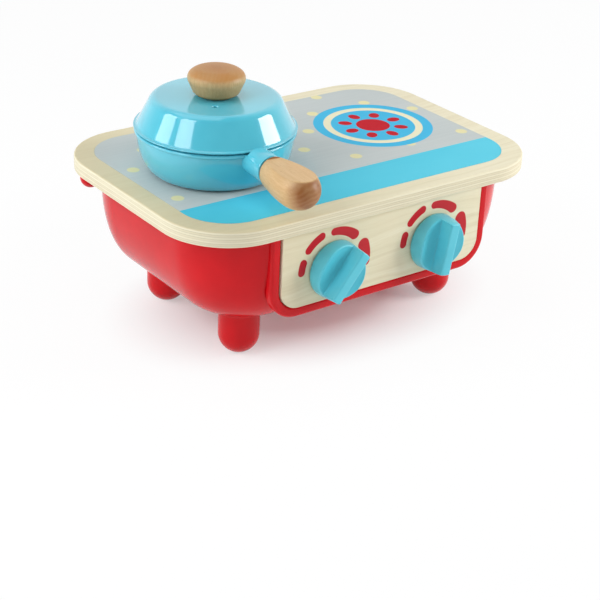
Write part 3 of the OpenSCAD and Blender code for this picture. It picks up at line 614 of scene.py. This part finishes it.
def white_paper(name):
    """The floor: for the camera and for mirrors a share of its white is its own, least near the toy,
    where it keeps the shadow."""
    look = Look(name, 0.7, 0.2)
    look.colour(look.mix(look.noise(look.place, 40, 3, 0.6), *PAPER))
    tree = look.tree
    seen = tree.nodes.new("ShaderNodeLightPath")
    shown = Num(look, seen.outputs["Is Camera Ray"])
    for kind in ("Is Glossy Ray", "Is Transmission Ray"):
        shown = shown.op("MAXIMUM", Num(look, seen.outputs[kind]))
    x, y, _ = look.xyz_mm()
    wide, deep = FLOOR_OVAL
    far = disc(x / wide, (y - FLOOR_OVAL_Y) / deep).above(FLOOR_FADE, FLOOR_FADE_WIDTH)
    far = far.op("SMOOTH_MIN", 1.0, 0.3)
    near_white, far_white = FLOOR_WHITE
    glow = tree.nodes.new("ShaderNodeEmission")
    mix = tree.nodes.new("ShaderNodeMixShader")
    look.feed(mix.inputs[0], shown * (far * (far_white - near_white) + near_white))
    tree.links.new(look.shader.outputs[0], mix.inputs[1])
    tree.links.new(glow.outputs[0], mix.inputs[2])
    tree.links.new(mix.outputs[0], tree.nodes["Material Output"].inputs[0])
    return look.mat


# Objects

def loose(name, solid):
    """An object, made from a pair of vertices in millimetres and faces. Nothing carries it yet."""
    verts, faces = solid
    mesh = bpy.data.meshes.new(name)
    mesh.from_pydata([Vector(v) * MM for v in verts], [], faces)
    mesh.validate()
    obj = bpy.data.objects.new(name, mesh)
    bpy.context.scene.collection.objects.link(obj)
    return obj


def dress(obj, mat, body, node, sharp):
    """Gives obj its material and its body, and hides the CAD node that it stands for. Edges over sharp stay
    hard.
    """
    mesh = obj.data
    mesh.materials.clear()
    mesh.materials.append(mat)
    mesh.polygons.foreach_set("use_smooth", [True] * len(mesh.polygons))
    mesh.set_sharp_from_angle(angle=math.radians(sharp))
    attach(obj, body)
    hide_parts(node)


def combine(obj, how, tool):
    """Adds the tool to obj, or takes it away, and deletes the tool."""
    step = obj.modifiers.new("step", "BOOLEAN")
    step.operation = how
    step.object = tool
    step.solver = "EXACT"
    bpy.context.view_layer.update()
    shown = obj.evaluated_get(bpy.context.evaluated_depsgraph_get())
    mesh = bpy.data.meshes.new_from_object(shown)
    obj.modifiers.clear()
    obj.data = mesh
    bpy.data.objects.remove(tool)


def add(obj, solid):
    combine(obj, "UNION", loose("tool", solid))


def cut(obj, solid):
    combine(obj, "DIFFERENCE", loose("tool", solid))


# Lines and solids

def arc(middle, radii, first, last, steps):
    """Points round an ellipse, from one angle to another in degrees."""
    angles = [math.radians(first + (last - first) * i / steps) for i in range(steps + 1)]
    return [(middle[0] + radii[0] * math.cos(a), middle[1] + radii[1] * math.sin(a)) for a in angles]


def rounded(corners, steps):
    """A line through corners (x, y, radius), with each corner rounded."""
    line = []
    for i, (x, y, r) in enumerate(corners):
        p = Vector((x, y))
        if r <= 0 or i in (0, len(corners) - 1):
            line.append((x, y))
            continue
        a = (Vector(corners[i - 1][:2]) - p).normalized()
        b = (Vector(corners[i + 1][:2]) - p).normalized()
        half = a.angle(b) / 2
        centre = p + (a + b).normalized() * (r / math.sin(half))
        first = p + a * (r / math.tan(half)) - centre
        last = p + b * (r / math.tan(half)) - centre
        turn = math.atan2(first.x * last.y - first.y * last.x, first.dot(last))
        for k in range(steps + 1):
            s, c = math.sin(turn * k / steps), math.cos(turn * k / steps)
            line.append((centre.x + first.x * c - first.y * s, centre.y + first.x * s + first.y * c))
    return line


def superellipse(steps, depth, tuck, full):
    """Rows (in, down) of a side that tucks in towards its foot."""
    rows = []
    for i in range(steps + 1):
        u = math.sin(math.pi / 2 * i / steps)
        rows.append((tuck * (1 - (1 - u ** full) ** (1 / full)), u * depth))
    return rows


def moved(solid, matrix):
    verts, faces = solid
    return [tuple(matrix @ Vector(v)) for v in verts], faces


def join(solids):
    """Several solids as one."""
    verts, faces = [], []
    for some_verts, some_faces in solids:
        faces += [[i + len(verts) for i in face] for face in some_faces]
        verts += some_verts
    return verts, faces


def turned(line, steps):
    """A solid of revolution about z with steps sides. Its line of (radius, height) starts and ends on
    the axis."""
    verts, faces, rings = [], [], []
    angles = [math.tau * i / steps for i in range(steps)]
    for r, z in line:
        first = len(verts)
        on_axis = r < 1e-6
        verts += [(0, 0, z)] if on_axis else [(r * math.cos(a), r * math.sin(a), z) for a in angles]
        rings.append(range(first, len(verts)))
    for a, b in zip(rings, rings[1:]):
        for i in range(steps):
            j = (i + 1) % steps
            if len(a) == 1:
                faces.append([b[i], b[j], a[0]])
            elif len(b) == 1:
                faces.append([a[i], a[j], b[0]])
            else:
                faces.append([a[i], a[j], b[j], b[i]])
    return verts, faces


def post(x, y, low, high, r, steps=48):
    return moved(turned([(0, low), (r, low), (r, high), (0, high)], steps), Matrix.Translation((x, y, 0)))


def prism(outline, low, high):
    """An outline of (x, z) points, counted round as seen from -y, pushed from y = low to high."""
    n = len(outline)
    verts = [(x, low, z) for x, z in outline] + [(x, high, z) for x, z in outline]
    faces = [list(range(n))[::-1], list(range(n, 2 * n))]
    faces += [[i, (i + 1) % n, (i + 1) % n + n, i + n] for i in range(n)]
    return verts, faces


# Tub, feet and pegs

def tub_solid(shrink, rise):
    """The tub's outer form, or its inner one with the wall taken off and its top raised."""
    rows = superellipse(30, TUB_H - shrink, TUB_TUCK, TUB_FULL)
    rings = [(TUB_R - shrink, rise)] if rise else []
    rings += [(TUB_R - shrink - inward, -down) for inward, down in rows]
    verts, faces = [], []
    for r, z in rings:
        for k, (sx, sy) in enumerate(((1, 1), (-1, 1), (-1, -1), (1, -1))):
            middle = (sx * (TUB_W / 2 - TUB_R), MIDDLE_Y + sy * (TUB_D / 2 - TUB_R))
            verts += [(x, y, UNDER + z) for x, y in arc(middle, (r, r), 90 * k, 90 * k + 90, 26)]
    n = len(verts) // len(rings)
    for start in range(0, len(verts) - n, n):
        for i in range(n):
            j = (i + 1) % n
            faces.append([start + j, start + i, start + n + i, start + n + j])
    faces.append(list(range(n)))
    faces.append(list(range(len(verts) - n, len(verts)))[::-1])
    return verts, faces


def front_outline(half, depth, r, rise=0.0):
    """Square top corners and round lower ones, hanging from the board's underside."""
    low = UNDER - depth + r
    line = [(half, UNDER + rise)]
    line += arc((half - r, low), (r, r), 0, -90, 16) + arc((r - half, low), (r, r), -90, -180, 16)
    line.append((-half, UNDER + rise))
    return line


def rim_solid():
    """A rounded bead along the sides and the bottom of the panel."""
    root = (0, -RIM_ROOT, 0)
    section = rounded([root, (RIM_W, -RIM_ROOT, 0), (RIM_W, RIM_T, RIM_EDGE), (0, RIM_T, RIM_EDGE), root], 7)
    section = section[:-1]
    half, r = PANEL_W / 2, PANEL_R
    low = UNDER - PANEL_H + r
    stations = [((half, UNDER), (1, 0))]
    for cx, first in ((half - r, 0), (r - half, -90)):
        for ox, oz in arc((0, 0), (1, 1), first, first - 90, 20):
            stations.append(((cx + r * ox, low + r * oz), (ox, oz)))
    stations.append(((-half, UNDER), (-1, 0)))
    back = PANEL_Y + PROUD + RIM_T
    verts, faces, n = [], [], len(section)
    for (px, pz), (ox, oz) in stations:
        verts += [(px + ox * (RIM_GAP + a), back - b, pz + oz * (RIM_GAP + a)) for a, b in section]
    for start in range(0, len(verts) - n, n):
        for i in range(n):
            j = (i + 1) % n
            faces.append([start + i, start + j, start + n + j, start + n + i])
    faces.append(list(range(n))[::-1])
    faces.append(list(range(len(verts) - n, len(verts))))
    return verts, faces


def make_tub(mat):
    front, back = PANEL_Y + PROUD + RIM_T / 2, PANEL_Y + PROUD + COLLAR_LEN
    half = PANEL_W / 2 + RIM_GAP + RIM_W - COLLAR_STEP
    depth = PANEL_H + RIM_GAP + RIM_W - COLLAR_STEP
    r = PANEL_R + RIM_W - COLLAR_STEP
    feet = [(x, y + MIDDLE_Y) for x in (-FOOT_X, FOOT_X) for y in (FOOT_FRONT, FOOT_BACK)]
    wells = [(x, y + MIDDLE_Y) for x in (-WELL_X, WELL_X) for y in (-WELL_Y, WELL_Y)]

    tub = loose("tub_moulding", tub_solid(0, 0))
    add(tub, prism(front_outline(half, depth, r), front, back))
    add(tub, join([post(x, y, FOOT_H - SEAT_DOWN, FOOT_H + SEAT_UP, FOOT_R, 96) for x, y in feet]))
    cut(tub, tub_solid(TUB_WALL, OVER))
    mouth = front_outline(half - TUB_WALL, depth - TUB_WALL, r - TUB_WALL, OVER)
    cut(tub, prism(mouth, PANEL_Y - OVER, back + OVER))

    ledge_y = PANEL_Y + PANEL_T
    outline = front_outline(half - LEDGE_INSET, depth - LEDGE_INSET, r - LEDGE_INSET, -LEDGE_DROP)
    ledge = loose("ledge", prism(outline, ledge_y, ledge_y + LEDGE_T))
    hole = front_outline(PANEL_W / 2 - LEDGE_W, PANEL_H - LEDGE_W, PANEL_R, OVER)
    cut(ledge, prism(hole, ledge_y - OVER, ledge_y + LEDGE_T + OVER))
    combine(tub, "UNION", ledge)
    add(tub, rim_solid())

    add(tub, join([post(x, y, FOOT_H + WELL_GAP, UNDER - WELL_GAP, WELL_R) for x, y in wells]))
    cut(tub, join([post(x, y, FOOT_H - OVER, UNDER - WELL_CAP, WELL_BORE) for x, y in wells]))
    holes = [post(x, y, UNDER - WELL_CAP - OVER, UNDER + OVER, SCREW_R) for x, y in wells]
    low, high = FOOT_H - SEAT_DOWN - OVER, FOOT_H + SEAT_UP + OVER
    holes += [post(x, y, low, high, SCREW_R) for x, y in feet]
    cut(tub, join(holes))
    dress(tub, mat, "stove", "body_shell", 30)


def make_foot(name, x, y, mat):
    """A round foot that flares into the tub."""
    ball = arc((0, FOOT_R - FOOT_CUT), (FOOT_R, FOOT_R), -90, 0, 24)
    line = [(0, 0), (FOOT_FLAT, 0), (FOOT_FLAT, FOOT_EDGE)]
    line += [(r, z) for r, z in ball[2:] if z > FOOT_EDGE]
    line += rounded([(r, FOOT_H + z, ease) for r, z, ease in FLARE], 6)
    line.append((0, line[-1][1]))
    foot = loose(name + "_turned", moved(turned(line, 96), Matrix.Translation((x, y + MIDDLE_Y, 0))))
    dress(foot, mat, "stove", name, 40)


def make_peg(name, side, mat):
    """A ball on a short stem, on the tub's back corner. side is -1 at the left and 1 at the right."""
    first = math.degrees(math.asin(PEG_NECK / PEG_R)) - 90
    line = [(0, -TUB_WALL), (STEM_R, -TUB_WALL)]
    line += arc((0, PEG_REACH), (PEG_R, PEG_R), first, 90, 30)
    turn = PEG_TURN if side > 0 else 180 - PEG_TURN
    corner = Vector((side * (TUB_W / 2 - TUB_R), MIDDLE_Y + TUB_D / 2 - TUB_R, UNDER - PEG_DROP))
    place = (Matrix.Translation(corner) @ Matrix.Rotation(math.radians(turn), 4, "Z")
             @ Matrix.Rotation(math.radians(90), 4, "Y") @ Matrix.Translation((0, 0, TUB_R)))
    peg = loose(name + "_turned", moved(turned(line, 64), place))
    dress(peg, mat, "stove", name, 40)


# Knobs

def bar_line():
    """Height over the distance from the middle of the bar, out to the knob's edge."""
    chord = Vector((KNOB_R - BAR_FOOT, SKIRT - VALLEY))
    rise = math.sqrt(SCOOP ** 2 - chord.length_squared / 4)
    middle = Vector((BAR_FOOT, VALLEY)) + chord / 2 + rise * Vector((-chord.y, chord.x)) / chord.length
    first = math.degrees(math.atan2(VALLEY - middle.y, BAR_FOOT - middle.x))
    last = math.degrees(math.atan2(SKIRT - middle.y, KNOB_R - middle.x))
    scoop = arc(middle, (SCOOP, SCOOP), first, last, 16)
    corners = [(0, DEPTH, 0), (BAR_FRONT, DEPTH, BAR_EASE), (BAR_FOOT, VALLEY, BAR_FILLET), (*scoop[1], 0)]
    bar = rounded(corners, 6)
    return [(0, DEPTH), (BAR_FRONT * 0.35, DEPTH)] + bar[1:-1] + scoop[1:]


def height_at(line, u):
    for (a, height_a), (b, height_b) in zip(line, line[1:]):
        if a <= u <= b:
            return height_a + (height_b - height_a) * (u - a) / max(b - a, 1e-9)
    return line[-1][1]


def knob_radius(height):
    return KNOB_R - DRAFT * height / DEPTH


def knob_face(steps):
    """The knob's front as a grid, with z out of the panel and the bar along y, and the loop of vertices
    round its edge."""
    line = bar_line()
    across = [u for u, height in line if u < knob_radius(height) - KNOB_EASE]
    edge = knob_radius(line[-1][1]) - KNOB_EASE
    across += [across[-1] + (edge - across[-1]) * k / 4 for k in (1, 2, 3, 4)]
    across = [-u for u in across[:0:-1]] + across
    rows, verts, faces = [], [], []
    for k, u in enumerate(across):
        height = height_at(line, abs(u))
        if k in (0, len(across) - 1):
            rows.append([len(verts)] * (steps + 1))
            verts.append((u, 0, height))
            continue
        reach = math.sqrt(max((knob_radius(height) - KNOB_EASE) ** 2 - u * u, 0))
        rows.append([len(verts) + j for j in range(steps + 1)])
        verts += [(u, reach * math.sin(math.pi / 2 * (2 * j / steps - 1)), height) for j in range(steps + 1)]
    for a, b in zip(rows, rows[1:]):
        for j in range(steps):
            face = [a[j], b[j], b[j + 1], a[j + 1]]
            face = [v for i, v in enumerate(face) if v != face[i - 1]]
            if len(set(face)) > 2:
                faces.append(face)
    # Down the right side and back up the left one
    loop = [row[0] for row in rows] + [row[-1] for row in rows[-2:0:-1]]
    return verts, faces, loop


def knob_solid():
    """The knob in its own frame: z out of the panel, the bar along y."""
    verts, faces, previous = knob_face(26)
    rim = [verts[i] for i in previous]
    n = len(rim)
    # Rings down the side: how far in, how far under the rim, and which share of the height there
    angles = [math.radians(90 * k / 5) for k in range(1, 6)]
    rings = [(KNOB_EASE * (1 - math.sin(a)), KNOB_EASE * (1 - math.cos(a)), 1) for a in angles]
    rings += [(0, KNOB_EASE, 0.66), (0, KNOB_EASE, 0.33), (0, KNOB_EASE, 0.06), (KNOB_CHAMFER, KNOB_EASE, 0)]
    for inward, under, share in rings:
        ring = range(len(verts), len(verts) + n)
        for x, y, height in rim:
            z = (height - under) * share
            r, angle = knob_radius(z) - inward, math.atan2(y, x)
            verts.append((r * math.cos(angle), r * math.sin(angle), z))
        faces += [[previous[i], ring[i], ring[(i + 1) % n], previous[(i + 1) % n]] for i in range(n)]
        previous = ring
    faces.append(list(previous)[::-1])
    return verts, faces


def make_knob(name, x, lean, mat):
    place = (Matrix.Translation((x, PANEL_Y - KNOB_GAP, KNOB_Z))
             @ Matrix.Rotation(math.radians(90), 4, "X") @ Matrix.Rotation(math.radians(-lean), 4, "Z"))
    knob = loose(name + "_moulding", moved(knob_solid(), place))
    cut(knob, moved(post(0, 0, -OVER, KNOB_BORE_LEN, KNOB_BORE), place))
    dress(knob, mat, name, name, 50)


# Pan, handle and lid

def pan_side(wall):
    """Rows (radius, height) of the pan's side, from its foot up to the rim."""
    rows = superellipse(28, PAN_H - wall, PAN_R - PAN_FOOT, 2.0)[::-1]
    return [(PAN_R - wall - inward, PAN_H - down) for inward, down in rows]


def handle_place():
    """z along the handle, away from the pan, y up."""
    axes = Matrix(((0, 0, 1, 0), (1, 0, 0, 0), (0, 1, 0, 0), (0, 0, 0, 1)))
    turn = Matrix.Rotation(HANDLE_TURN, 4, "Z")
    return Matrix.Translation(PAN) @ turn @ Matrix.Translation((0, 0, HANDLE_UP)) @ axes


def make_pan(mat):
    side = [(r, z) for r, z in pan_side(0) if SIDE_LOW < z < SIDE_HIGH]
    line = rounded([*PAN_SOLE, (*side[0], 0)], 3) + side[1:]
    line += rounded([(*side[-1], 0), *PAN_ROLL], 5)[1:]
    line += [(r, z) for r, z in pan_side(WALL)[::-1] if z < INNER_HIGH] + [(0, WALL)]
    pan = loose("pan_enamelled", moved(turned(line, 160), Matrix.Translation(PAN)))

    tube = rounded([(0, SOCKET_START, 0), (SOCKET_R, SOCKET_START, 0), (SOCKET_R, SOCKET_END, 0.8),
                    (0, SOCKET_END, 0)], 5)
    socket = loose("socket", moved(turned(tube, 96), handle_place()))
    above = PAN_H + CLEAR_H
    inside = [(0, WALL)] + pan_side(WALL) + [(PAN_R - WALL, above), (0, above)]
    cut(socket, moved(turned(inside, 160), Matrix.Translation(PAN)))
    room = [(0, PAN_H), (CLEAR_R, PAN_H), (CLEAR_R, above), (0, above)]
    cut(socket, moved(turned(room, 160), Matrix.Translation(PAN)))
    combine(pan, "UNION", socket)

    end = SOCKET_END + OVER
    bore = [(0, BORE_START), (BORE_R, BORE_START), (BORE_R, BORE_END), (SCREW_R, BORE_END),
            (SCREW_R, end), (0, end)]
    cut(pan, moved(turned(bore, 48), handle_place()))
    dress(pan, mat, "pan", "pan_body", 35)


def make_handle(mat):
    """Turned wood: a neck at the socket, a belly, a round end and a flat on top."""
    line = rounded(NECK, 4)
    for i in range(2, 25):
        grow = math.sin(math.pi / 2 * i / 24)
        line.append((SOCKET_R + (HANDLE_R - SOCKET_R) * grow, BELLY * i / 24))
    line += arc((0, BELLY), (HANDLE_R, HANDLE_LEN - BELLY), 0, 90, 28)[1:]
    verts, faces = turned(line, 160)
    flattened = [(x, flat_top(y) if z > FLAT_START else y, z) for x, y, z in verts]
    place = handle_place() @ Matrix.Translation((0, 0, SOCKET_END))
    handle = loose("handle_turned", moved((flattened, faces), place))
    dress(handle, mat, "pan", "pan_handle", 40)


def flat_top(y):
    """y held down to the handle's flat, with a soft edge."""
    over = y - HANDLE_FLAT
    if over > FLAT_SOFT:
        return HANDLE_FLAT
    return y - (over + FLAT_SOFT) ** 2 / (4 * FLAT_SOFT) if over > -FLAT_SOFT else y


def lid_cone(wall):
    """The foot of the lid's cone, the radius where it meets the top, and the top's height."""
    side = Vector((CONE_R - LID_TOP_R, LID_H - BRIM_T))
    normal = Vector((side.y, side.x)) / side.length
    foot = Vector((CONE_R, LID_BASE + BRIM_T)) - wall * normal
    top = LID_BASE + LID_H - wall
    return foot, foot.x - (top - foot.y) * side.x / side.y, top


def make_lid(mat):
    foot, shoulder, top = lid_cone(0)
    inner_foot, inner_shoulder, ceiling = lid_cone(WALL)
    lip, brim, low = PAN_R - WALL - LIP_GAP, LID_BASE + BRIM_LIFT, LID_BASE - LIP
    line = rounded([
        (0, top, 0), (shoulder, top, SHOULDER), (foot.x - 0.3, foot.y, 1.6),
        (BRIM_R, LID_BASE + BRIM_T, BRIM_EDGE), (BRIM_R, brim, BRIM_EDGE),
        (lip, brim, 0.2), (lip, low, 0.4), (lip - WALL, low, 0.4), (lip - WALL, inner_foot.y + 0.6, 0.3),
        (inner_shoulder, ceiling, INNER_SHOULDER), (0, ceiling, 0)], 8)
    lid = loose("lid_enamelled", moved(turned(line[::-1], 192), Matrix.Translation(PAN)))
    spot = PAN + Vector((VENT_OUT * math.cos(VENT_TURN), VENT_OUT * math.sin(VENT_TURN), 0))
    vent = rounded([(0, ceiling - 1, 0), (VENT_R, ceiling - 1, 0), (VENT_R, top - 0.5, 1),
                    (VENT_R + VENT_FLARE, top + 0.3, 0), (0, top + 0.3, 0)], 5)
    cut(lid, moved(turned(vent, 48), Matrix.Translation(spot)))
    cut(lid, post(PAN.x, PAN.y, PAN.z + ceiling - 1, PAN.z + top + 1, SCREW_R))
    dress(lid, mat, "lid", "lid_shell", 35)


def make_lid_knob(mat):
    """Turned wood: a foot, a side that widens upwards, a round edge and a low dome."""
    place = Matrix.Translation(PAN + Vector((0, 0, LID_BASE + LID_H)))
    knob = loose("lid_knob_turned", moved(turned(rounded(LID_KNOB, 12), 160), place))
    dress(knob, mat, "lid", "lid_knob", 40)


# The scene

make_camera()
make_world()
make_lamps()

red = moulded_plastic("red_gloss", *RED, roughness=0.16, worn=0.05, specular=0.22)
knob_blue = moulded_plastic("blue_satin", *KNOB_BLUE, roughness=0.3, worn=0.08)
white = moulded_plastic("white_satin", *WHITE, roughness=0.4, worn=0.1)
blue = enamel("blue_enamel", *ENAMEL_BLUE)
zinc = steel("zinc_steel", *ZINC)
board_ply = plywood("board_ply", True, UNDER, BOARD_T, BOARD_PLIES, 0.6)
panel_ply = plywood("panel_ply", False, PANEL_Y - MIDDLE_Y, PANEL_T, PANEL_PLIES, 0.15, dial_marks)
sheet_print = printed_sheet("hob_print")
handle_axis = (math.cos(HANDLE_TURN), math.sin(HANDLE_TURN), 0)
handle_beech = beech("handle_beech", PAN + Vector((0, 0, 20)), handle_axis, (0, 0, 1), *HANDLE_WOOD,
                     shade_until=SOCKET_END + GROOVE_LEN)
knob_beech = beech("lid_knob_beech", PAN + Vector((0, 0, 50)), (0, 0, 1), (0.8, -0.6, 0),
                   *LID_KNOB_WOOD, dark_middle=15)

make_tub(red)
make_foot("foot_front_left", -FOOT_X, FOOT_FRONT, red)
make_foot("foot_front_right", FOOT_X, FOOT_FRONT, red)
make_foot("foot_back_left", -FOOT_X, FOOT_BACK, red)
make_foot("foot_back_right", FOOT_X, FOOT_BACK, red)
make_peg("utensil_peg_left", -1, red)
make_peg("utensil_peg_right", 1, red)
make_knob("knob_left", -KNOB_X, LEAN_LEFT, knob_blue)
make_knob("knob_right", KNOB_X, LEAN_RIGHT, knob_blue)
make_pan(blue)
make_handle(handle_beech)
make_lid(blue)
make_lid_knob(knob_beech)

# The CAD's own nodes get the same finishes
finish = {
    "cream_plywood": board_ply, "printed_sheet": sheet_print, "red_plastic": red, "blue_plastic": knob_blue,
    "blue_enamel": blue, "white_plastic": white, "beech_wood": handle_beech, "screw_steel": zinc}
for sub in frame["record"]["subparts"]:
    mat = panel_ply if sub["node"] == "front_panel" else finish[sub["material_slot"]]
    for slot in frame["nodes"][sub["node"]].material_slots:
        slot.material = mat

ground = bpy.data.meshes.new("floor")
corners = [(x * FLOOR_REACH, y * FLOOR_REACH, 0) for x, y in ((-1, -1), (1, -1), (1, 1), (-1, 1))]
ground.from_pydata(corners, [], [[0, 1, 2, 3]])
floor = bpy.data.objects.new("floor", ground)
bpy.context.scene.collection.objects.link(floor)
ground.materials.append(white_paper("paper_floor"))

view = bpy.context.scene.view_settings
view.view_transform = "Standard"
